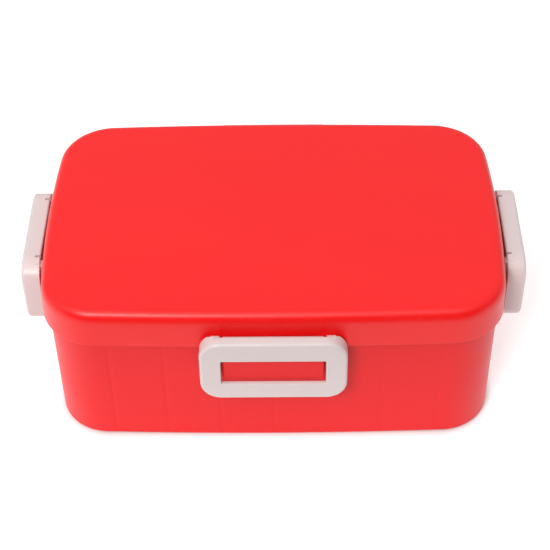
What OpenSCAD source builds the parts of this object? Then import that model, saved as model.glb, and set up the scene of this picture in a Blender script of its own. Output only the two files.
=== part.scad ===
// Single-tier lunch box: a tapered container, an overlapping lid with a gasket, a latch on each
// of the four sides, and a loose divider. The origin is under the middle of the box, on the
// surface that it stands on. +X runs along the length and +Z points up.

/* [Box] */
// Length of the box at the lower edge of the lid
box_w = 180; // [172:1:190]
// Depth of the box at the lower edge of the lid
box_d = 116.2; // [112:0.2:122]
// Height of the closed box
box_h = 70.4; // [68:0.2:74]
// Radius of the four upright corners
corner_r = 22.3; // [20:0.1:24]
// Radius of the slight outward bow of the long sides
long_bow_r = 1800; // [1400:50:3000]
// Radius of the slight outward bow of the short sides
short_bow_r = 480; // [420:10:700]

/* [Lid] */
// Height of the lid's lower edge above the ground
skirt_z = 54.4; // [54.3:0.1:54.9]
// How far the lid's side wall leans in between its lower edge and its top rounding
skirt_lean = 0.5; // [0.3:0.1:0.9]
// Radius of the rounded top edge
lid_edge_r = 3.8; // [3:0.1:4.2]
// Thickness of the lid's side wall
skirt_wall = 1.6; // [1.4:0.1:1.6]
// Thickness of the lid's top
lid_top = 2.1; // [1.8:0.1:2.4]

/* [Container] */
// Gap from the outside of the lid to the outside of the container, at the lid's lower edge
body_inset = 2.3; // [2.2:0.1:2.6]
// How much further in the container's wall is at its foot
body_taper = 0.2; // [0.1:0.1:0.8]
// Thickness of the container's wall
body_wall = 1.6; // [1.4:0.1:1.8]
// Radius of the rounded edge round the bottom
base_edge_r = 2.3; // [1.6:0.1:3]
// Height of the inside floor above the ground
floor_z = 2.8; // [2.4:0.1:3.4]
// Distance between the upright ribs on the long walls
rib_pitch = 21; // [20:0.5:21.5]

/* [Latches] */
// Length of the front and rear latches
long_latch = 55.4; // [50:0.2:60]
// Length of the left and right latches
short_latch = 50.8; // [46:0.2:56]
// Height of each latch
latch_h = 29.6; // [28.6:0.1:29.8]
// Thickness of the front and rear latches
latch_t = 6.3; // [6:0.1:6.6]
// Thickness of the left and right latches
side_latch_t = 7.3; // [7:0.1:7.5]
// Gap between the lid's lower edge and the back of each latch
latch_gap = 0.9; // [0.9:0.1:1.2]
// Radius of the rounding along the top of the front and rear latches' backs
latch_back_r = 3; // [2.4:0.1:3.2]
// Radius of the same rounding on the left and right latches
side_back_r = 0.8; // [0.6:0.1:1]
// Thickness of the plate that passes in front of the catch block
plate_t = 1.5; // [1.3:0.1:1.7]
// Radius of the lid's hinge pins
pin_r = 0.8; // [0.6:0.05:0.9]
// Gap all round a hinge pin in its hole
pin_play = 0.05; // [0.03:0.01:0.08]

/* [Divider] */
// Which rib the divider straddles, counted from the middle one
divider_rib = 1; // [-3:1:3]
// Thickness of the divider
divider_t = 1.4; // [1.2:0.1:1.6]

/* [Hidden] */
$fn = 48;

half_w = box_w / 2;
half_d = box_d / 2;
rim_z = box_h - 5;
foot_h = 1.2;
foot_w = 4.4;
base_inset = body_inset + body_taper;
floor_edge_r = 3;
rib_count = 3;
rib_t = 1;
rib_inset = base_inset + body_wall + 1.1;
rib_top = rim_z - 4;

// Gasket, and the groove under the lid that holds it
groove_z = box_h - lid_top;
groove_inset = 6.2;
groove_rib_t = 1.2;
groove_rib_z = groove_z - 3.6;
gasket_z = rim_z + 0.3;
gasket_lip_z = groove_z - 1;

// Latch, its hinge and its catch block
latch_top = box_h - 7.3;
latch_bottom = latch_top - latch_h;
latch_corner_r = 8;
latch_edge_r = 1.3;
side_bar = 8;
top_bar = 9.1;
window_h = 12.2;
window_top = latch_top - top_bar;
window_bottom = window_top - window_h;
axis_out = latch_gap + 1.7;
axis_z = latch_top - 2.2;
tab_t = 3.4;
tab_r = 1.8;
heel_depth = 0.6;
side_heel_depth = 1;
lug_t = 0.8;
lug_r = 0.9;
lug_gap = 0.2;
lug_root = 1.2;
bar_wall = 1.6;
block_gap = 0.75;
block_wall = 1.4;
block_root = 3.3;

// ---- Plan outline: four corner arcs between four slightly bowed sides ----

function mid(a, b) = (a + b) / 2;

// Centre of the corner arc that touches both bowed sides, in the first quadrant
function corner_centre() =
    let (
        long_c = [0, half_d - long_bow_r],
        short_c = [half_w - short_bow_r, 0],
        reach_long = long_bow_r - corner_r,
        reach_short = short_bow_r - corner_r,
        span = norm(short_c - long_c),
        along = (pow(reach_long, 2) - pow(reach_short, 2) + span * span) / (2 * span),
        away = sqrt(reach_long * reach_long - along * along),
        dir = (short_c - long_c) / span
    )
    long_c + along * dir + away * [dir.y, -dir.x];

// Points of an arc from angle a0 to a1, in n steps
function arc(c, r, a0, a1, n) =
    [for (i = [0:n]) let (a = a0 + (a1 - a0) * i / n) c + r * [cos(a), sin(a)]];

// A quarter of the outline, moved inwards by inset
function quarter(inset) =
    let (
        c = corner_centre(),
        a_short = atan2(c.y, c.x + short_bow_r - half_w),
        a_long = atan2(c.y + long_bow_r - half_d, c.x)
    )
    concat(
        arc([half_w - short_bow_r, 0], short_bow_r - inset, a_short / 8, a_short * 7 / 8, 3),
        arc(c, corner_r - inset, a_short, a_long, 10),
        arc([0, half_d - long_bow_r], long_bow_r - inset, (a_long * 7 + 90) / 8, (a_long + 90 * 7) / 8, 3)
    );

function reversed(list) = [for (i = [len(list) - 1:-1:0]) list[i]];

// The whole outline, moved inwards by inset
function outline(inset) =
    let (q = quarter(inset))
    concat(
        q,
        [for (p = reversed(q)) [-p.x, p.y]],
        [for (p = q) -p],
        [for (p = reversed(q)) [p.x, -p.y]]
    );

// Depth of the long wall at x, moved inwards by inset
function long_y(x, inset) = half_d - long_bow_r + sqrt(pow(long_bow_r - inset, 2) - x * x);

// Flat plate of the box's outline
module plate(inset, z0, z1) {
    translate([0, 0, z0])
        linear_extrude(z1 - z0)
            polygon(outline(inset));
}

// Flat ring between two outlines
module ring(outer, inner, z0, z1) {
    difference() {
        plate(outer, z0, z1);
        plate(inner, z0 - 1, z1 + 1);
    }
}

// Smooth solid from its wide end, at z_end, through [inset, height] levels that get narrower
module loft(z_end, levels) {
    hull()
        for (level = levels)
            plate(level[0], min(level[1], z_end), max(level[1], z_end));
}

// ---- Places on the four sides ----
// Each side has the same axes: X along the side, -Y outwards, with Y = 0 at the lid's lower edge,
// in the middle of the side.

module on_side(turn, face) {
    rotate([0, 0, turn])
        translate([0, -face, 0])
            children();
}

module on_front() on_side(0, half_d) children();
module on_rear() on_side(180, half_d) children();
module on_left() on_side(-90, half_w) children();
module on_right() on_side(90, half_w) children();

// Extrude a profile drawn as [distance outwards, height] from u0 to u1 along a side
module along_side(u0, u1) {
    translate([u1, 0, 0])
        rotate([90, 0, -90])
            linear_extrude(u1 - u0)
                children();
}

// The same shape at both ends of a latch
module both_ends() {
    children();
    mirror([1, 0, 0])
        children();
}

function window_half(length) = length / 2 - side_bar;
function tab_inner(length) = window_half(length) + 0.1;

// ---- Container ----

// Hollow ledge that a latch of thickness t hooks under
module catch_block(length, t) {
    half = window_half(length) - block_gap;
    top = window_top - 0.5;
    bottom = window_bottom + 0.7;
    front = latch_gap + t - plate_t - 0.2;
    depth = front + block_root;
    difference() {
        translate([-half, -front, bottom])
            cube([2 * half, depth, top - bottom]);
        translate([-half + block_wall, -front + block_wall, bottom - 1])
            cube([2 * (half - block_wall), depth, top - bottom + 1 - block_wall]);
    }
}

module rib(x) {
    near = long_y(x, rib_inset);
    far = long_y(x, body_inset + body_wall - 0.4);
    translate([x - rib_t / 2, near, floor_z - 0.4])
        cube([rib_t, far - near, rib_top - floor_z + 0.4]);
}

module container_shell() {
    inside = body_inset + body_wall;
    inside_base = base_inset + body_wall;
    open_z = rim_z + 3;
    difference() {
        loft(open_z, concat(
            [[body_inset, open_z - 1]],
            [for (a = [0:12:72]) [base_inset + base_edge_r * (1 - cos(a)),
                                  base_edge_r * (1 - sin(a))]]
        ));
        loft(open_z + 1, concat(
            [[inside, open_z]],
            [for (a = [0:15:90]) [inside_base + floor_edge_r * (1 - cos(a)),
                                  floor_z + floor_edge_r * (1 - sin(a))]]
        ));
        plate(0, rim_z, open_z + 1);
        plate(base_inset + base_edge_r + foot_w, -1, foot_h - 0.4);
    }
}

module container() {
    color("#e63238") {
        container_shell();
        ring(base_inset + base_edge_r - 0.4, base_inset + base_edge_r + foot_w, 0, foot_h);
        for (i = [-rib_count:rib_count], turn = [0, 180])
            rotate([0, 0, turn])
                rib(i * rib_pitch);
        on_front() catch_block(long_latch, latch_t);
        on_rear() catch_block(long_latch, latch_t);
        on_left() catch_block(short_latch, side_latch_t);
        on_right() catch_block(short_latch, side_latch_t);
    }
}

// ---- Lid ----

// Two lugs with the pins that a latch turns on
module lugs(length) {
    outer = tab_inner(length) - lug_gap;
    root = -axis_out - lug_root;
    both_ends() {
        along_side(outer - lug_t, outer)
            translate([axis_out, axis_z]) {
                circle(lug_r);
                polygon([[-0.8, 0.1], [root, -1.4], [root, -2.6], [-0.3, -0.8]]);
            }
        along_side(outer - lug_t / 2, outer + lug_gap + tab_t - 0.4)
            translate([axis_out, axis_z])
                circle(pin_r);
    }
}

module lid_shell() {
    edge_z = box_h - lid_edge_r;
    open_z = skirt_z - 2;
    difference() {
        union() {
            loft(open_z, concat(
                [[0, skirt_z - 1]],
                [for (a = [0:13:78]) [skirt_lean + lid_edge_r * (1 - cos(a)),
                                      edge_z + lid_edge_r * sin(a)]]
            ));
            plate(skirt_lean + lid_edge_r, box_h - 1, box_h);
        }
        loft(open_z - 2, [
            [skirt_wall, open_z - 1],
            [skirt_wall + 0.5, groove_z - 1.5],
            [skirt_wall + 1.8, groove_z]
        ]);
        plate(-1, open_z - 1, skirt_z);
    }
}

module lid() {
    color("#f23a3c") {
        lid_shell();
        ring(groove_inset, groove_inset + groove_rib_t, groove_rib_z, groove_z + 0.5);
        on_front() lugs(long_latch);
        on_rear() lugs(long_latch);
        on_left() lugs(short_latch);
        on_right() lugs(short_latch);
    }
}

module gasket() {
    color("#e9e4e2") {
        ring(2.9, groove_inset - 0.2, gasket_z, gasket_lip_z);
        ring(3.6, groove_inset - 0.2, gasket_lip_z, groove_z);
    }
}

// ---- Latches ----

// Block with the latch's outline moved inwards by inset, from its back to a depth
module latch_slice(length, inset, depth) {
    r = latch_corner_r - inset;
    translate([0, -latch_gap, mid(latch_top, latch_bottom)])
        rotate([90, 0, 0])
            linear_extrude(depth)
                for (sx = [-1, 1], sy = [-1, 1])
                    translate([sx * (length / 2 - latch_corner_r), sy * (latch_h / 2 - latch_corner_r)])
                        circle(r);
}

module latch_blank(length, t) {
    hull()
        for (a = [0:30:90])
            latch_slice(length, latch_edge_r * (1 - cos(a)), t - latch_edge_r * (1 - sin(a)));
}

// What the rounding takes off the top of the back, outside the rounding's circle
module back_rounding(length, r) {
    along_side(-length / 2 - 1, length / 2 + 1)
        difference() {
            translate([latch_gap - 1, latch_top - r])
                square(r + 1);
            translate([latch_gap + r, latch_top - r])
                circle(r);
        }
}

// Slot that a lug stands in, open to the back and the top, so that the latch can swing up
module lug_slot(length) {
    inner = tab_inner(length);
    along_side(inner - 2 * lug_gap - lug_t, inner)
        translate([axis_out, axis_z]) {
            circle(lug_r + 0.25);
            polygon([[0.3, 3], [0.3, -1.1], [-0.4, -1.3], [-4, -3.3], [-4, 3]]);
        }
}

// Tab that holds a hinge pin, with a heel behind the latch's back
module tab(length, depth) {
    u = tab_inner(length);
    heel = latch_gap - depth - axis_out;
    along_side(u, u + tab_t)
        translate([axis_out, axis_z]) {
            circle(tab_r);
            polygon([
                [0, tab_r],
                [-tab_r * cos(40), tab_r * sin(40)],
                [heel + 0.15, 0.45],
                [heel, 0.1],
                [heel, -1.2],
                [-axis_out + 0.7, window_top + 1.2 - axis_z],
                [0, window_top + 0.2 - axis_z]
            ]);
        }
}

module latch(length, t, back_r, depth) {
    half = window_half(length);
    slot_from = tab_inner(length) - 2 * lug_gap - lug_t;
    color("#dcd0cf")
        difference() {
            union() {
                difference() {
                    latch_blank(length, t);
                    back_rounding(length, back_r);
                }
                both_ends()
                    tab(length, depth);
            }
            translate([-half, -20, window_bottom])
                cube([2 * half, 40, window_h]);
            translate([-half, -latch_gap - t + plate_t, latch_bottom - 1])
                cube([2 * half, t, window_bottom - latch_bottom + 2]);
            translate([bar_wall - slot_from, -latch_gap - t + 2 * bar_wall, window_top + bar_wall])
                cube([2 * (slot_from - bar_wall), t, latch_top - latch_back_r - window_top - bar_wall]);
            both_ends() {
                lug_slot(length);
                along_side(tab_inner(length) - 0.5, tab_inner(length) + tab_t - 0.2)
                    translate([axis_out, axis_z])
                        circle(pin_r + pin_play);
            }
        }
}

module front_latch() on_front() latch(long_latch, latch_t, latch_back_r, heel_depth);
module rear_latch() on_rear() latch(long_latch, latch_t, latch_back_r, heel_depth);
module left_latch() on_left() latch(short_latch, side_latch_t, side_back_r, side_heel_depth);
module right_latch() on_right() latch(short_latch, side_latch_t, side_back_r, side_heel_depth);

// ---- Divider ----

module divider() {
    x = divider_rib * rib_pitch;
    base_z = floor_z + 0.3;
    top_z = rib_top - 1;
    reach = long_y(x, rib_inset + 0.4);
    fork = long_y(x, base_inset + body_wall + 0.4);
    color("#e9e4e2")
        translate([x, 0, 0]) {
            rotate([90, 0, 90])
                translate([0, 0, -divider_t / 2])
                    linear_extrude(divider_t)
                        polygon([
                            [-reach, top_z], [-reach, base_z + 2], [-reach + 1.5, base_z],
                            [reach - 1.5, base_z], [reach, base_z + 2], [reach, top_z]
                        ]);
            translate([-1.6, -reach + 6, top_z - 1])
                cube([3.2, 2 * reach - 12, 2.2]);
            for (turn = [0, 180])
                rotate([0, 0, turn]) {
                    translate([-1.9, reach - 1.5, base_z + 3.5])
                        cube([3.8, 1.5, top_z - base_z - 3.5]);
                    for (side = [-1.9, 0.85])
                        translate([side, reach - 0.5, base_z + 3.5])
                            cube([1.05, fork - reach + 0.5, top_z - base_z - 3.5]);
                }
        }
}

container();
lid();
gasket();
front_latch();
rear_latch();
left_latch();
right_latch();
divider();
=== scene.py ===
"""Looks for the lunch box: smooth mouldings, plastics, soft studio light and the camera.

Everything is in metres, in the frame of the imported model: the front latch is on the -Y side.
"""

import math

import bmesh
import bpy
import numpy as np
from mathutils import Matrix, Vector


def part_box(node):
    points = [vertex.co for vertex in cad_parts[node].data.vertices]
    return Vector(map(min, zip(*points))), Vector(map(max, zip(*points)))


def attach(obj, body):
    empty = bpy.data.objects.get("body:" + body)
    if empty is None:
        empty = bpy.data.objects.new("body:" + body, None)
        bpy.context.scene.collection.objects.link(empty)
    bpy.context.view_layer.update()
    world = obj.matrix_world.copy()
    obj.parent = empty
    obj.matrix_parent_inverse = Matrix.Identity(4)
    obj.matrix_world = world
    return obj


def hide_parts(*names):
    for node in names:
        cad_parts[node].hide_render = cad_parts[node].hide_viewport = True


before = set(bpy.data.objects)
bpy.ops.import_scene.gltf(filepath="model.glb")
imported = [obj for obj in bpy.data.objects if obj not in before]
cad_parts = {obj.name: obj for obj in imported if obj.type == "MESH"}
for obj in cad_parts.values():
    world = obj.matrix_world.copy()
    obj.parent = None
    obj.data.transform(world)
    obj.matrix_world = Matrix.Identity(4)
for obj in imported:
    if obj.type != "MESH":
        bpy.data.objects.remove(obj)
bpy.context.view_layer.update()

MM = 0.001
WELD = 0.002 * MM    # points closer than this become one

# ---- Sizes read from the frame ----

LID_LO, LID_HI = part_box("lid")
GASKET_LO, GASKET_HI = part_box("gasket")
DIVIDER_LO, DIVIDER_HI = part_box("divider")
LATCH_LO, LATCH_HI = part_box("front_latch")

GASKET_INSET = 2.9 * MM
HALF_W = GASKET_HI.x + GASKET_INSET
HALF_D = GASKET_HI.y + GASKET_INSET
BOX_H = LID_HI.z
SKIRT_Z = LID_LO.z
RIM_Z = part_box("container")[1].z
GROOVE_Z = GASKET_HI.z
LATCH_TOP = LATCH_HI.z
LATCH_BOTTOM = LATCH_LO.z

# ---- Plan outline of the box, at the lid's lower edge ----

CORNER_R = 22.3 * MM
LONG_BOW_R = 1800 * MM
SHORT_BOW_R = 480 * MM
CORNER_STEPS = 22
SHORT_SIDE_STEPS = 14

# ---- Lid ----

SKIRT_LEAN = 0.5 * MM
EDGE_R = 3.5 * MM
EDGE_EASE_IN = 2 * MM
EDGE_EASE_OUT = 5.6 * MM
EDGE_STEPS = 24
EDGE_FINE_STEPS = 600
TOP_FLAT_MARGIN = 1.5 * MM
SKIRT_WALL = 1.6 * MM
SKIRT_LIP_R = 0.4 * MM
SKIRT_ROOT_W = 0.5 * MM
GROOVE_CHAMFER = (1.3 * MM, 1.5 * MM)
GROOVE_INSET = 6.2 * MM
GROOVE_RIB_T = 1.2 * MM
GROOVE_RIB_Z = GROOVE_Z - 3.6 * MM

# ---- Gasket ----

GASKET_PLAY = 0.2 * MM
GASKET_LIP_W = 0.7 * MM
GASKET_LIP_H = 1 * MM
GASKET_R = 0.3 * MM
GASKET_LIP_R = 0.2 * MM

# ---- Container ----

BODY_INSET = 2.3 * MM
BASE_INSET = 2.5 * MM
BODY_WALL = 1.6 * MM
BASE_EDGE_R = 2.3 * MM
FLOOR_Z = 2.8 * MM
FLOOR_EDGE_R = 3 * MM
FOOT_W = 4.4 * MM
FOOT_RECESS = 0.8 * MM
FOOT_EDGE_R = 0.3 * MM
RIM_EDGE_R = 0.5 * MM
WALL_RING_HEIGHTS = [4 * MM, 6 * MM, 20 * MM, 36 * MM]
RIB_PITCH = 21 * MM
RIB_COUNT = 3
RIB_T = 1 * MM
RIB_INSET = 5.2 * MM
RIB_EDGE_R = 0.25 * MM
RIB_TOP = RIM_Z - 4 * MM
SINK_DEPTH = 0.2 * MM
SINK_HALF_W = 1 * MM
SINK_TOP_Z = SKIRT_Z - 3 * MM
SINK_FADE_LOW = 2 * MM
SINK_FADE_HIGH = 1.2 * MM

# ---- Latches ----

LATCH_GAP = 0.9 * MM
LATCH_T = 6.3 * MM
SIDE_LATCH_T = 7.3 * MM
LATCH_CORNER_R = 8 * MM
LATCH_EDGE_R = 1.3 * MM
LATCH_RIM_R = 0.35 * MM
LATCH_BACK_R = 3 * MM
SIDE_BACK_R = 0.8 * MM
WINDOW_EDGE_R = 0.45 * MM
WINDOW_CORNER_R = 0.7 * MM
SIDE_BAR = 8 * MM
TOP_BAR = 9.1 * MM
WINDOW_H = 12.2 * MM
PLATE_T = 1.5 * MM
AXIS_OUT = LATCH_GAP + 1.7 * MM
AXIS_DROP = 2.2 * MM
PIN_R = 0.8 * MM
PIN_PLAY = 0.05 * MM
LUG_R = 0.9 * MM
LUG_T = 0.8 * MM
LUG_GAP = 0.2 * MM
LUG_ROOT = 1.2 * MM
TAB_T = 3.4 * MM
TAB_R = 1.8 * MM
HEEL_DEPTH = 0.6 * MM
SIDE_HEEL_DEPTH = 1 * MM
TAB_EDGE_R = 0.25 * MM
BAR_WALL = 1.6 * MM
HOLLOW_EDGE_R = 0.5 * MM
SLOT_PLAY = 0.25 * MM

WINDOW_TOP = LATCH_TOP - TOP_BAR
WINDOW_BOTTOM = WINDOW_TOP - WINDOW_H
AXIS_Z = LATCH_TOP - AXIS_DROP

# Catch block in a latch's window: its clearances, its wall and how deep it is rooted
BLOCK_GAP = 0.75 * MM
BLOCK_TOP = WINDOW_TOP - 0.5 * MM
BLOCK_BOTTOM = WINDOW_BOTTOM + 0.7 * MM
BLOCK_SET_BACK = 0.2 * MM
BLOCK_WALL = 1.4 * MM
BLOCK_ROOT = 3.3 * MM
BLOCK_EDGE_R = 0.5 * MM

# Each side of the box: the turn about Z that takes a piece there from the front, and how far out it is
SIDES = {
    "front": (0.0, HALF_D),
    "rear": (math.pi, HALF_D),
    "left": (-math.pi / 2, HALF_W),
    "right": (math.pi / 2, HALF_W),
}
THICKNESS = {"front": LATCH_T, "rear": LATCH_T, "left": SIDE_LATCH_T, "right": SIDE_LATCH_T}
BACK_R = {"front": LATCH_BACK_R, "rear": LATCH_BACK_R, "left": SIDE_BACK_R, "right": SIDE_BACK_R}
HEEL = {"front": HEEL_DEPTH, "rear": HEEL_DEPTH, "left": SIDE_HEEL_DEPTH, "right": SIDE_HEEL_DEPTH}

# ---- Divider ----

DIVIDER_T = 1.4 * MM
DIVIDER_EDGE_R = 0.25 * MM
DIVIDER_PLAY = 0.4 * MM
DIVIDER_CORNER = (1.5 * MM, 2 * MM)
BEAD_W = 3.2 * MM
BEAD_RISE = 1.2 * MM
BEAD_END = 6 * MM
BEAD_R = 0.7 * MM
FORK_HALF_W = 1.9 * MM
FORK_SLOT_HALF_W = 0.85 * MM
FORK_ROOT_L = 1.5 * MM
FORK_LAP = 0.7 * MM
FORK_FOOT_H = 3.5 * MM
FORK_EDGE_R = 0.2 * MM

# ---- Camera, fitted to the view of the real box ----

CAM_AZIMUTH = 0.01147
CAM_ELEVATION = 0.77303
CAM_ROLL = -0.01464
CAM_DISTANCE = 0.59877
CAM_LENS = 95.25
CAM_SENSOR = 36.0
CAM_TARGET = Vector((0.00037, 0.0, 0.03549))

# ---- Studio ----

ROOM_BRIGHT_WAY = (-0.1, 0.35, 0.93)
ROOM_FADE = (-0.05, 0.6)
ROOM_DARK = 0.15
ROOM_BRIGHT = 0.7
LIGHTS = {
    "ceiling": {"direction": (-0.1, -0.33, 0.94), "distance": 1.7, "size": (1.8, 1.0), "power": 6.0},
    "key": {"direction": (-0.28, -0.66, 0.68), "distance": 1.6, "size": (0.42, 0.42), "power": 14.5},
    "left_fill": {"direction": (-0.90, -0.30, 0.40), "distance": 1.8, "size": (1.0, 1.2), "power": 2.0},
}
LIGHT_AIM = Vector((0, 0, 0.04))
FLOOR_HALF = 3.0
FLOOR_DEPTH = 0.02
FLOOR_DROP = 0.1 * MM
FLOOR_GREY = 0.68
# Painted light: the floor glows by FLOOR_GLOW, fading to none between GLOW_TO outside the box's base and
# GLOW_FROM under it, a painted contact shadow.
FLOOR_GLOW = 0.55
GLOW_FROM = -3 * MM
GLOW_TO = 2 * MM
FLAG_GREY = 0.1
FLAG_HALF_W = 0.5
FLAG_NEAR = -0.185
FLAG_FAR = -0.34
FLAG_HEIGHT = 0.26
FLAG_LYING_T = 0.5 * MM
FLAG_UPRIGHT_T = 2 * MM

# ---- Plastics: colour, the deeper colour that it drifts to, roughness and specular level ----

PLASTICS = {
    "lid_red": ((0.86, 0.006, 0.006), (0.83, 0.005, 0.006), 0.36, 0.43),
    "container_red": ((0.79, 0.005, 0.008), (0.75, 0.004, 0.007), 0.38, 0.29),
    "latch_pale": ((0.66, 0.575, 0.565), (0.64, 0.555, 0.545), 0.34, 0.5),
    "gasket_silicone": ((0.80, 0.78, 0.76), (0.77, 0.75, 0.73), 0.6, 0.5),
    "divider_milky": ((0.84, 0.80, 0.79), (0.80, 0.77, 0.76), 0.42, 0.5),
}

# Noise features for each metre, and how strongly they show
DRIFT_SCALE = 21.0
GLOSS_SCALE = 60.0
GRAIN_SCALE = 2600.0
GRAIN_STRENGTH = 0.06
GRAIN_DEPTH = 0.1 * MM
GLOSS_SPREAD = 0.03
PLASTIC_IOR = 1.49


# ---- Mesh helpers ----

def new_object(name, verts, faces):
    """A mesh object from points and faces."""
    mesh = bpy.data.meshes.new(name)
    mesh.from_pydata([tuple(v) for v in verts], [], faces)
    mesh.update()
    obj = bpy.data.objects.new(name, mesh)
    bpy.context.scene.collection.objects.link(obj)
    return obj


def outward(obj):
    """Turns every face outwards."""
    bm = bmesh.new()
    bm.from_mesh(obj.data)
    bmesh.ops.recalc_face_normals(bm, faces=bm.faces)
    bm.to_mesh(obj.data)
    bm.free()
    return obj


def bake_modifiers(obj):
    """Replaces the mesh by the result of the object's modifiers."""
    depsgraph = bpy.context.evaluated_depsgraph_get()
    mesh = bpy.data.meshes.new_from_object(obj.evaluated_get(depsgraph))
    obj.modifiers.clear()
    obj.data = mesh
    return obj


def combine(obj, tools, operation):
    """Adds tools to obj, or cuts them from it, and deletes them."""
    for tool in tools:
        step = obj.modifiers.new("combine", "BOOLEAN")
        step.operation = operation
        step.solver = "MANIFOLD"
        step.object = tool
        bake_modifiers(obj)
        bpy.data.objects.remove(tool)
    return obj


def finish_surface(obj, sharp_deg=32.0):
    """Smooth shading, with creases only where faces meet at a clear angle."""
    bm = bmesh.new()
    bm.from_mesh(obj.data)
    bmesh.ops.remove_doubles(bm, verts=bm.verts, dist=WELD)
    bmesh.ops.dissolve_degenerate(bm, dist=WELD / 2, edges=bm.edges)
    bm.to_mesh(obj.data)
    bm.free()
    obj.data.shade_smooth()
    obj.data.set_sharp_from_angle(angle=math.radians(sharp_deg))
    weighted = obj.modifiers.new("weighted", "WEIGHTED_NORMAL")
    weighted.keep_sharp = True
    return bake_modifiers(obj)


def round_edges(obj, width, segments=3, limit_deg=30.0):
    """Rounds the edges of a simple block."""
    bevel = obj.modifiers.new("round", "BEVEL")
    bevel.width = width
    bevel.segments = segments
    bevel.limit_method = "ANGLE"
    bevel.angle_limit = math.radians(limit_deg)
    bevel.use_clamp_overlap = True
    return bake_modifiers(obj)


def block(name, low, high):
    """A box between two corners."""
    xs, ys, zs = zip(low, high)
    verts = [(x, y, z) for x in xs for y in ys for z in zs]
    faces = [(0, 1, 3, 2), (4, 6, 7, 5), (0, 4, 5, 1), (2, 3, 7, 6), (0, 2, 6, 4), (1, 5, 7, 3)]
    return outward(new_object(name, verts, faces))


def prism(name, profile, u0, u1):
    """A (distance outwards, height) profile pulled along X from u0 to u1, on the front side."""
    n = len(profile)
    verts = [(u, -w, z) for u in (u0, u1) for w, z in profile]
    faces = [tuple(range(n)), tuple(range(2 * n - 1, n - 1, -1))]
    faces += [(i, (i + 1) % n, n + (i + 1) % n, n + i) for i in range(n)]
    return outward(new_object(name, verts, faces))


def arc_points(centre, radius, start_deg, end_deg, steps):
    """Points along an arc, both ends included."""
    angles = np.radians(np.linspace(start_deg, end_deg, steps + 1))
    return [(centre[0] + radius * math.cos(a), centre[1] + radius * math.sin(a)) for a in angles]


def rod(name, radius, u0, u1, steps=40):
    """A round bar along a latch's hinge axis."""
    circle = arc_points((AXIS_OUT, AXIS_Z), radius, 0, 360, steps)[:-1]
    return prism(name, circle, u0, u1)


def mirrored(obj):
    """The same piece at the other end of the side."""
    copy = bpy.data.objects.new(obj.name + "_b", obj.data.copy())
    bpy.context.scene.collection.objects.link(copy)
    copy.data.transform(Matrix.Diagonal((-1, 1, 1, 1)))
    copy.data.flip_normals()
    return copy


def to_side(obj, side):
    """Moves a piece made for the front, with Y = 0 at the lid's lower edge, to its side of the box."""
    turn, face = SIDES[side]
    obj.data.transform(Matrix.Rotation(turn, 4, "Z") @ Matrix.Translation((0, -face, 0)))
    return obj


# ---- The plan outline ----

def corner_centre():
    """Centre of the corner arc that touches both bowed sides."""
    long_c = np.array([0.0, HALF_D - LONG_BOW_R])
    short_c = np.array([HALF_W - SHORT_BOW_R, 0.0])
    reach_long = LONG_BOW_R - CORNER_R
    reach_short = SHORT_BOW_R - CORNER_R
    span = np.linalg.norm(short_c - long_c)
    direction = (short_c - long_c) / span
    along = (reach_long**2 - reach_short**2 + span**2) / (2 * span)
    away = math.sqrt(reach_long**2 - along**2)
    return long_c + along * direction + away * np.array([direction[1], -direction[0]])


def long_side_places(limit):
    """Places along half of a long side: close together at each rib, wider between them."""
    near_rib = np.array([-1.6, -1.0, -0.5, 0.0, 0.5, 1.0, 1.6]) * MM
    places = {0.5 * RIB_PITCH * k for k in range(1, 2 * RIB_COUNT + 1, 2)}
    for k in range(RIB_COUNT + 1):
        places.update(k * RIB_PITCH + near_rib)
    return sorted((round(x, 7) for x in places if 1e-6 < x < limit - 0.5 * MM), reverse=True)


def all_round(quarter):
    """A quarter of the outline mirrored into all four."""
    flipped = quarter * np.array([-1, 1])
    return np.concatenate([quarter, flipped[::-1][1:], -quarter[1:], -flipped[::-1][1:-1]])


def plan_outline():
    """Points of the outline and their outward directions, anticlockwise from the middle of +X."""
    c = corner_centre()
    a_short = math.atan2(c[1], c[0] + SHORT_BOW_R - HALF_W)
    a_long = math.atan2(c[1] + LONG_BOW_R - HALF_D, c[0])
    limit = LONG_BOW_R * math.cos(a_long)
    quarter = [((HALF_W - SHORT_BOW_R, 0.0), SHORT_BOW_R, a)
               for a in np.linspace(0, a_short, SHORT_SIDE_STEPS + 1)]
    quarter += [(c, CORNER_R, a) for a in np.linspace(a_short, a_long, CORNER_STEPS + 1)[1:]]
    quarter += [((0.0, HALF_D - LONG_BOW_R), LONG_BOW_R, math.acos(x / LONG_BOW_R))
                for x in long_side_places(limit)]
    quarter += [((0.0, HALF_D - LONG_BOW_R), LONG_BOW_R, math.pi / 2)]
    points = np.array([(m[0] + r * math.cos(a), m[1] + r * math.sin(a)) for m, r, a in quarter])
    normals = np.array([(math.cos(a), math.sin(a)) for _, _, a in quarter])
    return all_round(points), all_round(normals)


OUTLINE, OUTLINE_OUT = plan_outline()


def ring_points(inset, z):
    """The outline moved inwards by inset, at height z."""
    flat = OUTLINE - OUTLINE_OUT * inset
    return np.column_stack([flat, np.full(len(flat), z)])


def long_y(x, inset):
    """How far out the long wall is at x, moved inwards by inset."""
    return HALF_D - LONG_BOW_R + math.sqrt((LONG_BOW_R - inset) ** 2 - x * x)


def cap_rings(inset, z, shares=(0.86, 0.66, 0.4, 0.18)):
    """Rings that shrink towards the middle, for a flat top or floor."""
    edge = ring_points(inset, z)
    return [edge * np.array([s, s, 1.0]) for s in shares]


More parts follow.
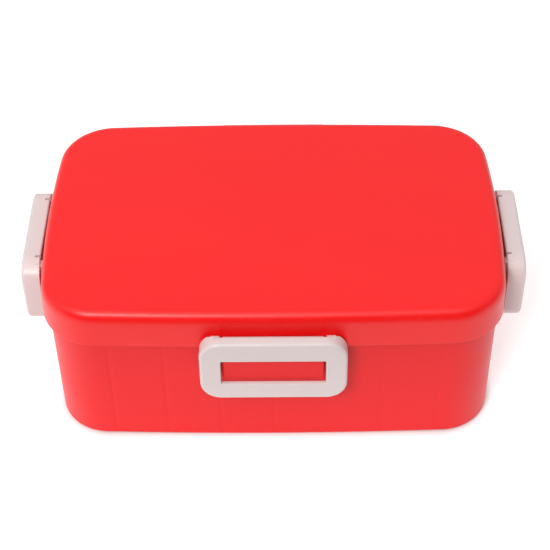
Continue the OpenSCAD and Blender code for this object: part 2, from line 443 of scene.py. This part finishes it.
def skin(name, rings, close_start=False, close_end=False, loop=False):
    """A surface through rings of equal length. A closed end runs to a point at its middle."""
    n = len(rings[0])
    verts = [tuple(p) for ring in rings for p in ring]
    faces = []
    pairs = [(k, k + 1) for k in range(len(rings) - 1)]
    if loop:
        pairs.append((len(rings) - 1, 0))
    for a, b in pairs:
        faces += [(a * n + i, a * n + (i + 1) % n, b * n + (i + 1) % n, b * n + i) for i in range(n)]
    for wanted, k in ((close_start, 0), (close_end, len(rings) - 1)):
        if wanted:
            verts.append(tuple(np.mean(rings[k], axis=0)))
            faces += [(k * n + i, k * n + (i + 1) % n, len(verts) - 1) for i in range(n)]
    return outward(new_object(name, verts, faces))


def round_corner(corner, from_dir, to_dir, radius, steps):
    """Profile points round a corner, tangent to both of its sides."""
    d0, d1 = from_dir.normalized(), to_dir.normalized()
    half = 0.5 * d0.angle(d1)
    back = radius / math.tan(half)
    centre = corner + (d0 + d1).normalized() * (radius / math.sin(half))
    start = corner + d0 * back - centre
    end = corner + d1 * back - centre
    total = start.angle_signed(end)
    out = []
    for k in range(steps + 1):
        turned = start.copy()
        turned.rotate(Matrix.Rotation(-total * k / steps, 2))
        out.append(tuple(centre + turned))
    return out


def profile_through(corners, radii, steps=5):
    """Profile through (inset, height) corners, each rounded by its own radius.

    A radius of 0 leaves a corner sharp. An open profile has 0 at both of its ends.
    """
    out = []
    for k, (corner, radius) in enumerate(zip(corners, radii)):
        here = Vector(corner)
        before = Vector(corners[k - 1]) - here
        after = Vector(corners[(k + 1) % len(corners)]) - here
        out += round_corner(here, before, after, radius, steps) if radius else [corner]
    return out


# ---- Container ----

def sink(points):
    """Presses the faint upright sink marks of the inner ribs into the outside of the long walls."""
    x, z = points[:, 0], points[:, 2]
    nearest = np.clip(np.round(x / RIB_PITCH), -RIB_COUNT, RIB_COUNT) * RIB_PITCH
    across = np.clip(np.abs(x - nearest) / SINK_HALF_W, 0, 1)
    shape = 0.5 * (1 + np.cos(np.pi * across))
    low = np.clip((z - BASE_EDGE_R) / SINK_FADE_LOW, 0, 1)
    high = np.clip((SINK_TOP_Z - z) / SINK_FADE_HIGH, 0, 1)
    on_long_wall = np.abs(OUTLINE_OUT[:, 1]) > 0.99
    depth = SINK_DEPTH * shape * low * high * on_long_wall
    moved = points.copy()
    moved[:, :2] -= OUTLINE_OUT * depth[:, None]
    return moved


def wall_point(z):
    """Profile point of the leaning outer wall at height z."""
    share = (z - BASE_EDGE_R) / (RIM_Z - BASE_EDGE_R)
    return BASE_INSET + (BODY_INSET - BASE_INSET) * share, z


def container_rings():
    """Rings from the middle of the underside, up the outside, over the rim and down to the floor."""
    foot_in = BASE_INSET + BASE_EDGE_R + FOOT_W
    under = profile_through(
        [(foot_in + 1 * MM, FOOT_RECESS), (foot_in, FOOT_RECESS), (foot_in - FOOT_RECESS, 0),
         (BASE_INSET + BASE_EDGE_R, 0)],
        [0, FOOT_EDGE_R, FOOT_EDGE_R, 0], 3)
    edge = [(BASE_INSET + BASE_EDGE_R * (1 - math.cos(a)), BASE_EDGE_R * (1 - math.sin(a)))
            for a in np.radians(np.linspace(80, 0, 9))]
    fade = [SINK_TOP_Z - SINK_FADE_HIGH, SINK_TOP_Z - SINK_FADE_HIGH / 2, SINK_TOP_Z, SINK_TOP_Z + 2 * MM]
    up = [wall_point(z) for z in WALL_RING_HEIGHTS + fade]
    floor_in = BASE_INSET + BODY_WALL
    over = profile_through(
        [wall_point(RIM_Z - 3 * MM), (BODY_INSET, RIM_Z), (BODY_INSET + BODY_WALL, RIM_Z),
         (floor_in, FLOOR_Z), (floor_in + 8 * MM, FLOOR_Z)],
        [0, RIM_EDGE_R, RIM_EDGE_R, FLOOR_EDGE_R, 0], 6)
    under_rings = cap_rings(*under[0])[::-1] + [ring_points(*p) for p in under]
    outside = [sink(ring_points(*p)) for p in edge + up]
    inside = [ring_points(*p) for p in over] + cap_rings(*over[-1])
    return under_rings + outside + inside


def catch_block(side, half_length):
    """Hollow block that stands in a latch's window and holds the latch shut."""
    half = half_length - SIDE_BAR - BLOCK_GAP
    front = LATCH_GAP + THICKNESS[side] - PLATE_T - BLOCK_SET_BACK
    past_root = BLOCK_ROOT + 6 * MM
    solid = block("catch", (-half, -front, BLOCK_BOTTOM), (half, BLOCK_ROOT + 4 * MM, BLOCK_TOP))
    round_edges(solid, BLOCK_EDGE_R, 4)
    trim = block("trim", (-half - MM, BLOCK_ROOT, BLOCK_BOTTOM - MM),
                 (half + MM, past_root, BLOCK_TOP + MM))
    hollow = block("hollow", (-half + BLOCK_WALL, -front + BLOCK_WALL, BLOCK_BOTTOM - MM),
                   (half - BLOCK_WALL, past_root, BLOCK_TOP - BLOCK_WALL))
    combine(solid, [trim, hollow], "DIFFERENCE")
    return to_side(solid, side)


def rib(x, toward):
    """Upright rib inside a long wall."""
    near = long_y(x, RIB_INSET)
    far = long_y(x, BODY_INSET + BODY_WALL - 0.5 * MM)
    ys = sorted((near * toward, far * toward))
    piece = block("rib", (x - RIB_T / 2, ys[0], FLOOR_Z - 0.4 * MM), (x + RIB_T / 2, ys[1], RIB_TOP))
    return round_edges(piece, RIB_EDGE_R, 2)


def make_container(lengths):
    """Food container with its catch blocks and inner ribs."""
    box = skin("container_shell", container_rings(), close_start=True, close_end=True)
    added = [catch_block(side, lengths[side] / 2) for side in SIDES]
    added += [rib(k * RIB_PITCH, toward) for k in range(-RIB_COUNT, RIB_COUNT + 1) for toward in (-1, 1)]
    combine(box, added, "UNION")
    return finish_surface(box)


# ---- Lid ----

def lid_edge():
    """Rounded top edge as (inset, height) points, which eases into its bend and out to the skirt."""
    lean = math.atan2(SKIRT_LEAN, BOX_H - SKIRT_Z)
    turn = math.pi / 2 - lean
    even = EDGE_R * turn - (EDGE_EASE_IN + EDGE_EASE_OUT) / 2
    knots = np.cumsum([0, EDGE_EASE_IN, even, EDGE_EASE_OUT])
    along = np.linspace(0, knots[-1], EDGE_FINE_STEPS + 1)
    bend = np.interp(along, knots, [0, 1 / EDGE_R, 1 / EDGE_R, 0])
    step = along[1]
    angle = np.concatenate([[0], np.cumsum((bend[1:] + bend[:-1]) / 2) * step])
    middle = (angle[1:] + angle[:-1]) / 2
    out = np.concatenate([[0], np.cumsum(np.cos(middle)) * step])
    down = np.concatenate([[0], np.cumsum(np.sin(middle)) * step])
    start = out[-1] + (BOX_H - SKIRT_Z - down[-1]) * math.tan(lean)
    picked = np.linspace(0, EDGE_FINE_STEPS, EDGE_STEPS + 1).astype(int)
    return [(start - out[k], BOX_H - down[k]) for k in picked]


def lid_rings():
    """Rings from the middle of the top, down the skirt, up its inside, round the groove's rib and in."""
    edge = lid_edge()
    flat_in = edge[0][0] + TOP_FLAT_MARGIN
    root_in = SKIRT_WALL + SKIRT_ROOT_W
    chamfer_in, chamfer_down = GROOVE_CHAMFER
    rib_in = GROOVE_INSET + GROOVE_RIB_T
    below = profile_through(
        [edge[-1], (0, SKIRT_Z), (SKIRT_WALL, SKIRT_Z), (root_in, GROOVE_Z - chamfer_down),
         (root_in + chamfer_in, GROOVE_Z), (GROOVE_INSET, GROOVE_Z), (GROOVE_INSET, GROOVE_RIB_Z),
         (rib_in, GROOVE_RIB_Z), (rib_in, GROOVE_Z), (rib_in + 3 * MM, GROOVE_Z)],
        [0, SKIRT_LIP_R, SKIRT_LIP_R, 1 * MM, 0.8 * MM, 0.3 * MM, 0.4 * MM, 0.4 * MM, 0.5 * MM, 0])
    rings = cap_rings(flat_in, BOX_H)[::-1] + [ring_points(flat_in, BOX_H)]
    rings += [ring_points(*p) for p in edge + below[1:]]
    return rings + cap_rings(*below[-1])


def about_axis(points):
    """Profile points given from the hinge axis."""
    return [(AXIS_OUT + w * MM, AXIS_Z + z * MM) for w, z in points]


def lug(outer):
    """Lug on the skirt with a hinge pin, its outer face at a distance from the latch's middle."""
    root = -(AXIS_OUT + LUG_ROOT) / MM
    profile = arc_points((AXIS_OUT, AXIS_Z), LUG_R, -110, 176, 28)
    profile += about_axis([(root, -1.4), (root, -2.6)])
    piece = round_edges(prism("lug", profile, outer - LUG_T, outer), 0.12 * MM, 2, 40)
    pin = rod("pin", PIN_R, outer - LUG_T / 2, outer + LUG_GAP + TAB_T - 0.4 * MM)
    round_edges(pin, 0.15 * MM, 2, 60)
    return combine(piece, [pin], "UNION")


def make_lid(lengths):
    """Lid with two lugs on each side."""
    lid = skin("lid_shell", lid_rings(), close_start=True, close_end=True)
    for side in SIDES:
        one = lug(tab_inner(lengths[side]) - LUG_GAP)
        both = [one, mirrored(one)]
        combine(lid, [to_side(piece, side) for piece in both], "UNION")
    return finish_surface(lid)


# ---- Gasket ----

def make_gasket():
    """Silicone ring with a rounded lip, in the lid's groove."""
    inner = GROOVE_INSET - GASKET_PLAY
    neck = GASKET_INSET + GASKET_LIP_W
    low, lip, high = GASKET_LO.z, GROOVE_Z - GASKET_LIP_H, GROOVE_Z
    profile = profile_through(
        [(GASKET_INSET, low), (inner, low), (inner, high), (neck, high), (neck, lip),
         (GASKET_INSET, lip)],
        [GASKET_R] * 3 + [GASKET_LIP_R] * 3, 4)
    ring = skin("gasket_ring", [ring_points(*p) for p in profile], loop=True)
    return finish_surface(ring)


# ---- Latches ----

def tab_inner(length):
    """Inner face of a latch's tabs, from the latch's middle."""
    return length / 2 - SIDE_BAR + 0.1 * MM


def frame_loop(half_u, z_low, z_high, radius, out, steps=12):
    """Rounded rectangle on the front side, at a distance outwards."""
    mid_z, half_z = (z_low + z_high) / 2, (z_high - z_low) / 2
    loop = []
    for quadrant, (su, sz) in enumerate(((1, 1), (-1, 1), (-1, -1), (1, -1))):
        centre = (su * (half_u - radius), mid_z + sz * (half_z - radius))
        loop += arc_points(centre, radius, 90 * quadrant, 90 * quadrant + 90, steps)
    return np.array([(u, -out, z) for u, z in loop])


def outer_loop(length, inset, out):
    """A latch's outline, moved inwards by inset."""
    return frame_loop(length / 2 - inset, LATCH_BOTTOM + inset, LATCH_TOP - inset,
                      LATCH_CORNER_R - inset, out)


def window_loop(length, outset, out):
    """A latch's window, widened by outset."""
    return frame_loop(length / 2 - SIDE_BAR + outset, WINDOW_BOTTOM - outset, WINDOW_TOP + outset,
                      WINDOW_CORNER_R + outset, out)


def latch_loops(length, thickness):
    """Loops from the back's outer edge, over the rounded front, into the window and to its back."""
    front = LATCH_GAP + thickness
    quarter = [(1 - math.sin(a), 1 - math.cos(a)) for a in np.radians(np.linspace(0, 90, 7))]
    loops = [outer_loop(length, LATCH_RIM_R * s, LATCH_GAP + LATCH_RIM_R * c) for s, c in quarter]
    loops += [outer_loop(length, LATCH_EDGE_R * c, front - LATCH_EDGE_R * s) for s, c in quarter]
    loops += [window_loop(length, WINDOW_EDGE_R * s, front - WINDOW_EDGE_R * c) for s, c in quarter]
    loops += [window_loop(length, LATCH_RIM_R * c, LATCH_GAP + LATCH_RIM_R * s) for s, c in quarter]
    return loops


def back_rounding(length, radius):
    """What the rounding takes off the top of a latch's back."""
    low = (LATCH_GAP + radius, LATCH_TOP - radius)
    profile = arc_points(low, radius, 90, 180, 14)
    profile += [(LATCH_GAP - MM, low[1]), (LATCH_GAP - MM, LATCH_TOP + MM), (low[0], LATCH_TOP + MM)]
    return prism("rounding", profile, -length / 2 - MM, length / 2 + MM)


def lug_slot(start, inner):
    """Slot for a lug, open to the back and the top, so that the latch can swing up."""
    round_part = rod("slot", LUG_R + SLOT_PLAY, start, inner)
    open_part = prism("open_slot", about_axis([(0.3, 3), (0.3, -1.1), (-0.4, -1.3), (-4, -3.3), (-4, 3)]),
                      start, inner)
    return combine(round_part, [open_part], "UNION")


def latch_tab(inner, depth):
    """Tab that holds a hinge pin, with a heel behind the latch's back."""
    heel = (LATCH_GAP - depth - AXIS_OUT) / MM
    profile = arc_points((AXIS_OUT, AXIS_Z), TAB_R, 60, 140, 12)
    profile += about_axis([(heel + 0.15, 0.45), (heel, 0.1), (heel, -1.2)])
    profile += [(0.7 * MM, WINDOW_TOP + 1.2 * MM), (AXIS_OUT, WINDOW_TOP + 0.2 * MM),
                (AXIS_OUT + 0.9 * MM, WINDOW_TOP + 1 * MM)]
    return round_edges(prism("tab", profile, inner, inner + TAB_T), TAB_EDGE_R, 3)


def make_latch(side, length):
    """A side's latch: a ring with two tabs, cored out behind its top bar and its lower plate."""
    half = length / 2 - SIDE_BAR
    inner = tab_inner(length)
    slot_from = inner - 2 * LUG_GAP - LUG_T
    latch = skin(side + "_latch_plate", latch_loops(length, THICKNESS[side]), loop=True)
    combine(latch, [back_rounding(length, BACK_R[side])], "DIFFERENCE")
    tab = latch_tab(inner, HEEL[side])
    combine(latch, [mirrored(tab), tab], "UNION")
    front = LATCH_GAP + THICKNESS[side]
    pocket = block("pocket", (-half, PLATE_T - front, LATCH_BOTTOM - MM), (half, MM, WINDOW_BOTTOM + MM))
    hollow = block("hollow", (BAR_WALL - slot_from, 2 * BAR_WALL - front, WINDOW_TOP + BAR_WALL),
                   (slot_from - BAR_WALL, MM, LATCH_TOP - LATCH_BACK_R))
    round_edges(hollow, HOLLOW_EDGE_R, 3)
    slot = lug_slot(slot_from, inner)
    bore = rod("bore", PIN_R + PIN_PLAY, inner - 0.5 * MM, inner + TAB_T - 0.2 * MM)
    combine(latch, [pocket, hollow, mirrored(slot), slot, mirrored(bore), bore], "DIFFERENCE")
    return finish_surface(to_side(latch, side))


# ---- Divider ----

def fork_end(x, reach, low, high, toward):
    """Blocks of the fork at one end of the divider: a root, and a prong on each side of the rib."""
    tip = DIVIDER_HI.y
    spans = [(-FORK_HALF_W, FORK_HALF_W, reach - FORK_ROOT_L, reach),
             (-FORK_HALF_W, -FORK_SLOT_HALF_W, reach - FORK_LAP, tip),
             (FORK_SLOT_HALF_W, FORK_HALF_W, reach - FORK_LAP, tip)]
    pieces = []
    for x0, x1, y0, y1 in spans:
        ys = sorted((y0 * toward, y1 * toward))
        piece = block("fork", (x + x0, ys[0], low + FORK_FOOT_H), (x + x1, ys[1], high - 0.01 * MM))
        pieces.append(round_edges(piece, FORK_EDGE_R, 2))
    return pieces


def make_divider():
    """Loose partition with a forked end round the rib at each long wall."""
    x = (DIVIDER_LO.x + DIVIDER_HI.x) / 2
    low, high = DIVIDER_LO.z, DIVIDER_HI.z - BEAD_RISE
    reach = long_y(x, RIB_INSET + DIVIDER_PLAY)
    cut_in, cut_up = DIVIDER_CORNER
    outline = [(cut_in - reach, low), (reach - cut_in, low), (reach, low + cut_up), (reach, high),
               (-reach, high), (-reach, low + cut_up)]
    sheet = prism("divider_sheet", outline, x - DIVIDER_T / 2, x + DIVIDER_T / 2)
    round_edges(sheet, DIVIDER_EDGE_R, 3)
    bead = block("bead", (x - BEAD_W / 2, BEAD_END - reach, high - 1 * MM),
                 (x + BEAD_W / 2, reach - BEAD_END, DIVIDER_HI.z))
    parts = [round_edges(bead, BEAD_R, 4)]
    for toward in (-1, 1):
        parts += fork_end(x, reach, low, high, toward)
    combine(sheet, parts, "UNION")
    return finish_surface(sheet)


# ---- Materials ----

def moulded_plastic(name, color, deep, roughness, specular):
    """Injection-moulded plastic: slow drifts of colour and gloss, and a fine satin grain."""
    mat = bpy.data.materials.new(name)
    mat.use_nodes = True
    tree = mat.node_tree
    shader = tree.nodes["Principled BSDF"]
    coords = tree.nodes.new("ShaderNodeTexCoord")

    def noise(scale, detail):
        """A noise texture in the piece's own coordinates."""
        node = tree.nodes.new("ShaderNodeTexNoise")
        node.inputs["Scale"].default_value = scale
        node.inputs["Detail"].default_value = detail
        tree.links.new(coords.outputs["Object"], node.inputs["Vector"])
        return node

    drift = noise(DRIFT_SCALE, 3.0)
    mix = tree.nodes.new("ShaderNodeMix")
    mix.data_type = "RGBA"
    mix.inputs["A"].default_value = (*deep, 1)
    mix.inputs["B"].default_value = (*color, 1)
    tree.links.new(drift.outputs["Fac"], mix.inputs["Factor"])
    tree.links.new(mix.outputs["Result"], shader.inputs["Base Color"])

    patches = noise(GLOSS_SCALE, 4.0)
    gloss = tree.nodes.new("ShaderNodeMapRange")
    gloss.inputs["From Min"].default_value = 0.3
    gloss.inputs["From Max"].default_value = 0.7
    gloss.inputs["To Min"].default_value = roughness - GLOSS_SPREAD
    gloss.inputs["To Max"].default_value = roughness + GLOSS_SPREAD
    tree.links.new(patches.outputs["Fac"], gloss.inputs["Value"])
    tree.links.new(gloss.outputs["Result"], shader.inputs["Roughness"])

    fine = noise(GRAIN_SCALE, 2.0)
    bump = tree.nodes.new("ShaderNodeBump")
    bump.inputs["Strength"].default_value = GRAIN_STRENGTH
    bump.inputs["Distance"].default_value = GRAIN_DEPTH
    tree.links.new(fine.outputs["Fac"], bump.inputs["Height"])
    tree.links.new(bump.outputs["Normal"], shader.inputs["Normal"])

    shader.inputs["IOR"].default_value = PLASTIC_IOR
    shader.inputs["Specular IOR Level"].default_value = specular
    return mat


# ---- Stage ----

def painted_glow_nodes(tree):
    """Painted glow of the floor: none under the box, and growing with the distance from its outline, so
    that a thin painted contact shadow runs along the box's base.
    """
    coords = tree.nodes.new("ShaderNodeTexCoord")
    flow = coords.outputs["Object"]
    core = (HALF_W - BASE_INSET - CORNER_R, HALF_D - BASE_INSET - CORNER_R, 1)
    for operation, operand in (("ABSOLUTE", None), ("SUBTRACT", core), ("MAXIMUM", (0, 0, 0))):
        node = tree.nodes.new("ShaderNodeVectorMath")
        node.operation = operation
        if operand:
            node.inputs[1].default_value = operand
        tree.links.new(flow, node.inputs[0])
        flow = node.outputs["Vector"]
    reach = tree.nodes.new("ShaderNodeVectorMath")
    reach.operation = "LENGTH"
    tree.links.new(flow, reach.inputs[0])
    ramp = tree.nodes.new("ShaderNodeMapRange")
    ramp.inputs["From Min"].default_value = CORNER_R + GLOW_FROM
    ramp.inputs["From Max"].default_value = CORNER_R + GLOW_TO
    ramp.inputs["To Min"].default_value = 0.0
    ramp.inputs["To Max"].default_value = FLOOR_GLOW
    tree.links.new(reach.outputs["Value"], ramp.inputs["Value"])
    return ramp.outputs["Result"]


def matt_material(name, grey):
    """Matt grey material of a stage piece."""
    mat = bpy.data.materials.new(name)
    mat.use_nodes = True
    shader = mat.node_tree.nodes["Principled BSDF"]
    shader.inputs["Base Color"].default_value = (grey, grey, grey, 1)
    shader.inputs["Roughness"].default_value = 0.9
    return mat, shader


def make_floor():
    """Plain pale floor, made white by a painted glow which fades out along the box's base as a painted
    contact shadow.
    """
    floor = block("floor", (-FLOOR_HALF, -FLOOR_HALF, -FLOOR_DEPTH),
                  (FLOOR_HALF, FLOOR_HALF, -FLOOR_DROP))
    mat, shader = matt_material("floor_paper", FLOOR_GREY)
    shader.inputs["Specular IOR Level"].default_value = 0.1
    shader.inputs["Emission Color"].default_value = (1, 1, 1, 1)
    mat.node_tree.links.new(painted_glow_nodes(mat.node_tree), shader.inputs["Emission Strength"])
    floor.data.materials.append(mat)


def area_light(name, direction, distance, size, power):
    """Softbox at a distance along a direction from the box, facing it."""
    light = bpy.data.lights.new(name, "AREA")
    light.shape = "RECTANGLE"
    light.size, light.size_y = size
    light.energy = power
    obj = bpy.data.objects.new(name, light)
    bpy.context.scene.collection.objects.link(obj)
    away = Vector(direction).normalized()
    obj.location = LIGHT_AIM + away * distance
    obj.rotation_euler = away.to_track_quat("Z", "Y").to_euler()


def make_flag():
    """Dark cloth in front of the box, lying and upright: the dark line reflected in the lid's edge.

    Only reflections and soft bounce light show it. The camera doesn't see it.
    """
    mat, _ = matt_material("flag_cloth", FLAG_GREY)
    lying = block("flag_lying", (-FLAG_HALF_W, FLAG_FAR, 0), (FLAG_HALF_W, FLAG_NEAR, FLAG_LYING_T))
    upright = block("flag_upright", (-FLAG_HALF_W, FLAG_FAR - FLAG_UPRIGHT_T, 0),
                    (FLAG_HALF_W, FLAG_FAR, FLAG_HEIGHT))
    for flag in (lying, upright):
        flag.data.materials.append(mat)
        flag.visible_camera = False
        flag.visible_shadow = False


def make_light():
    """A room that is pale behind and above and darker in front, and three softboxes."""
    world = bpy.data.worlds.new("studio")
    bpy.context.scene.world = world
    world.use_nodes = True
    tree = world.node_tree
    back = tree.nodes["Background"]
    coords = tree.nodes.new("ShaderNodeTexCoord")
    toward = tree.nodes.new("ShaderNodeVectorMath")
    toward.operation = "DOT_PRODUCT"
    toward.inputs[1].default_value = ROOM_BRIGHT_WAY
    tree.links.new(coords.outputs["Generated"], toward.inputs[0])
    ramp = tree.nodes.new("ShaderNodeMapRange")
    ramp.interpolation_type = "SMOOTHSTEP"
    ramp.inputs["From Min"].default_value = ROOM_FADE[0]
    ramp.inputs["From Max"].default_value = ROOM_FADE[1]
    ramp.inputs["To Min"].default_value = ROOM_DARK
    ramp.inputs["To Max"].default_value = ROOM_BRIGHT
    tree.links.new(toward.outputs["Value"], ramp.inputs["Value"])
    back.inputs["Color"].default_value = (1, 1, 1, 1)
    tree.links.new(ramp.outputs["Result"], back.inputs["Strength"])
    for name, light in LIGHTS.items():
        area_light(name, **light)
    bpy.context.scene.view_settings.view_transform = "Standard"


def make_camera():
    """Camera at the angle of the reference view."""
    ca, sa = math.cos(CAM_AZIMUTH), math.sin(CAM_AZIMUTH)
    ce, se = math.cos(CAM_ELEVATION), math.sin(CAM_ELEVATION)
    back = Vector((sa * ce, -ca * ce, se))
    right = Vector((ca, sa, 0))
    up = back.cross(right)
    cr, sr = math.cos(CAM_ROLL), math.sin(CAM_ROLL)
    x_axis = cr * right + sr * up
    y_axis = -sr * right + cr * up
    place = CAM_TARGET + back * CAM_DISTANCE
    data = bpy.data.cameras.new("camera")
    data.sensor_width = CAM_SENSOR
    data.lens = CAM_LENS
    data.clip_start = 0.01
    camera = bpy.data.objects.new("camera", data)
    camera.matrix_world = Matrix((
        (x_axis.x, y_axis.x, back.x, place.x),
        (x_axis.y, y_axis.y, back.y, place.y),
        (x_axis.z, y_axis.z, back.z, place.z),
        (0, 0, 0, 1),
    ))
    bpy.context.scene.collection.objects.link(camera)
    bpy.context.scene.camera = camera


# ---- Build ----

def latch_length(side):
    """Length of a side's latch, from the frame."""
    low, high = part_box(side + "_latch")
    return max(high.x - low.x, high.y - low.y)


def place_piece(obj, node, body, material):
    """Shows a piece in place of its CAD node, on the same body and in one material."""
    obj.data.materials.clear()
    obj.data.materials.append(material)
    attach(obj, body)
    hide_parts(node)


def build():
    """Makes every piece and places it."""
    lengths = {side: latch_length(side) for side in SIDES}
    plastic = {name: moulded_plastic(name, *look) for name, look in PLASTICS.items()}
    place_piece(make_container(lengths), "container", "container_body",
                plastic["container_red"])
    place_piece(make_lid(lengths), "lid", "lid_body", plastic["lid_red"])
    place_piece(make_gasket(), "gasket", "lid_body", plastic["gasket_silicone"])
    for side in SIDES:
        latch = make_latch(side, lengths[side])
        place_piece(latch, side + "_latch", side + "_latch_body", plastic["latch_pale"])
    place_piece(make_divider(), "divider", "divider_body", plastic["divider_milky"])


build()
make_floor()
make_flag()
make_light()
make_camera()
